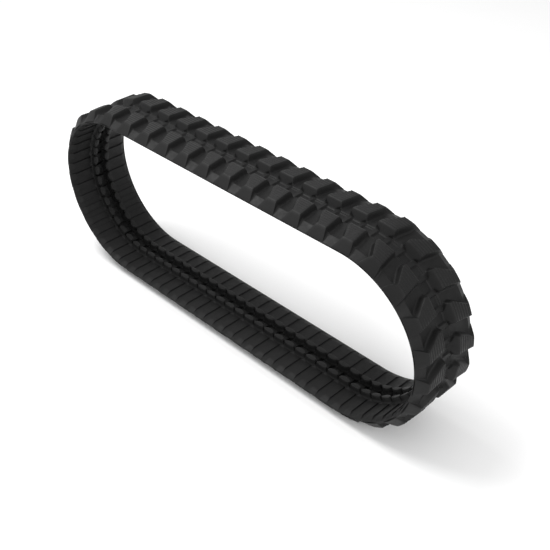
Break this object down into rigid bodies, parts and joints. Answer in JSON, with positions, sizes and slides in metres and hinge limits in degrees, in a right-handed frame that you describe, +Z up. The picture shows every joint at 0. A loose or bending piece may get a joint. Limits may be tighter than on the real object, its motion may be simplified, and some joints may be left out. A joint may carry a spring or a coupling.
{
  "type": "rubber track",
  "caption": "Endless rubber crawler belt with steel cores, paired guide lugs inside, drive windows between cores and staggered tread lugs outside.",
  "frame": {"origin": "on the ground under the middle of the loop", "axes": "+X along the track, +Y across the belt, +Z up"},
  "size_m": [1.6908, 0.253, 0.651],
  "materials": {
    "carcass_rubber": "matte black rubber",
    "pad_rubber": "matte black rubber",
    "guide_rubber": "matte black rubber",
    "tread_rubber": "matte black rubber with moulded ribs",
    "core_iron": "forged, bonded in rubber",
    "cord_steel": "brass-coated steel cord"
  },
  "bodies": {
    "bottom_run": {"carcass_bottom_run": "carcass_rubber", "roller_pads_bottom_run": "pad_rubber", "guide_lugs_bottom_run": "guide_rubber", "tread_lugs_bottom_run": "tread_rubber", "steel_cores_bottom_run": "core_iron", "steel_cords_bottom_run": "cord_steel"},
    "front_lower": {"carcass_front_lower": "carcass_rubber", "roller_pads_front_lower": "pad_rubber", "guide_lugs_front_lower": "guide_rubber", "tread_lugs_front_lower": "tread_rubber", "steel_cores_front_lower": "core_iron", "steel_cords_front_lower": "cord_steel"},
    "front_end": {"carcass_front_end": "carcass_rubber", "roller_pads_front_end": "pad_rubber", "guide_lugs_front_end": "guide_rubber", "tread_lugs_front_end": "tread_rubber", "steel_cores_front_end": "core_iron", "steel_cords_front_end": "cord_steel"},
    "front_upper": {"carcass_front_upper": "carcass_rubber", "roller_pads_front_upper": "pad_rubber", "guide_lugs_front_upper": "guide_rubber", "tread_lugs_front_upper": "tread_rubber", "steel_cores_front_upper": "core_iron", "steel_cords_front_upper": "cord_steel"},
    "top_front": {"carcass_top_front": "carcass_rubber", "roller_pads_top_front": "pad_rubber", "guide_lugs_top_front": "guide_rubber", "tread_lugs_top_front": "tread_rubber", "steel_cores_top_front": "core_iron", "steel_cords_top_front": "cord_steel"},
    "top_rear": {"carcass_top_rear": "carcass_rubber", "roller_pads_top_rear": "pad_rubber", "guide_lugs_top_rear": "guide_rubber", "tread_lugs_top_rear": "tread_rubber", "steel_cores_top_rear": "core_iron", "steel_cords_top_rear": "cord_steel"},
    "rear_upper": {"carcass_rear_upper": "carcass_rubber", "roller_pads_rear_upper": "pad_rubber", "guide_lugs_rear_upper": "guide_rubber", "tread_lugs_rear_upper": "tread_rubber", "steel_cores_rear_upper": "core_iron", "steel_cords_rear_upper": "cord_steel"},
    "rear_end": {"carcass_rear_end": "carcass_rubber", "roller_pads_rear_end": "pad_rubber", "guide_lugs_rear_end": "guide_rubber", "tread_lugs_rear_end": "tread_rubber", "steel_cores_rear_end": "core_iron", "steel_cords_rear_end": "cord_steel"},
    "rear_lower": {"carcass_rear_lower": "carcass_rubber", "roller_pads_rear_lower": "pad_rubber", "guide_lugs_rear_lower": "guide_rubber", "tread_lugs_rear_lower": "tread_rubber", "steel_cores_rear_lower": "core_iron", "steel_cords_rear_lower": "cord_steel"}
  },
  "joints": [
    {"name": "front_lower_flex", "type": "hinge", "parent": "bottom_run", "child": "front_lower", "pos_m": [0.36375, 0, 0.0275], "axis": [0, -1, 0], "range_deg": [0, 10], "stiffness_Nm_per_rad": 60},
    {"name": "front_end_lower_flex", "type": "hinge", "parent": "front_lower", "child": "front_end", "pos_m": [0.75847, 0, 0.14697], "axis": [0, -1, 0], "range_deg": [-10, 0], "stiffness_Nm_per_rad": 60},
    {"name": "front_end_upper_flex", "type": "hinge", "parent": "front_end", "child": "front_upper", "pos_m": [0.75847, 0, 0.50403], "axis": [0, -1, 0], "range_deg": [-10, 0], "stiffness_Nm_per_rad": 60},
    {"name": "front_upper_flex", "type": "hinge", "parent": "front_upper", "child": "top_front", "pos_m": [0.36375, 0, 0.6235], "axis": [0, -1, 0], "range_deg": [0, 10], "stiffness_Nm_per_rad": 60},
    {"name": "rear_lower_flex", "type": "hinge", "parent": "bottom_run", "child": "rear_lower", "pos_m": [-0.36375, 0, 0.0275], "axis": [0, 1, 0], "range_deg": [0, 10], "stiffness_Nm_per_rad": 60},
    {"name": "rear_end_lower_flex", "type": "hinge", "parent": "rear_lower", "child": "rear_end", "pos_m": [-0.75847, 0, 0.14697], "axis": [0, 1, 0], "range_deg": [-10, 0], "stiffness_Nm_per_rad": 60},
    {"name": "rear_end_upper_flex", "type": "hinge", "parent": "rear_end", "child": "rear_upper", "pos_m": [-0.75847, 0, 0.50403], "axis": [0, 1, 0], "range_deg": [-10, 0], "stiffness_Nm_per_rad": 60},
    {"name": "rear_upper_flex", "type": "hinge", "parent": "rear_upper", "child": "top_rear", "pos_m": [-0.36375, 0, 0.6235], "axis": [0, 1, 0], "range_deg": [0, 10], "stiffness_Nm_per_rad": 60}
  ],
  "couplings": [
    {"joint": "front_end_lower_flex", "follows": "front_lower_flex", "ratio": -1},
    {"joint": "front_end_upper_flex", "follows": "front_lower_flex", "ratio": -1},
    {"joint": "front_upper_flex", "follows": "front_lower_flex", "ratio": 1},
    {"joint": "rear_lower_flex", "follows": "front_lower_flex", "ratio": 1},
    {"joint": "rear_end_lower_flex", "follows": "front_lower_flex", "ratio": -1},
    {"joint": "rear_end_upper_flex", "follows": "front_lower_flex", "ratio": -1},
    {"joint": "rear_upper_flex", "follows": "front_lower_flex", "ratio": 1}
  ]
}
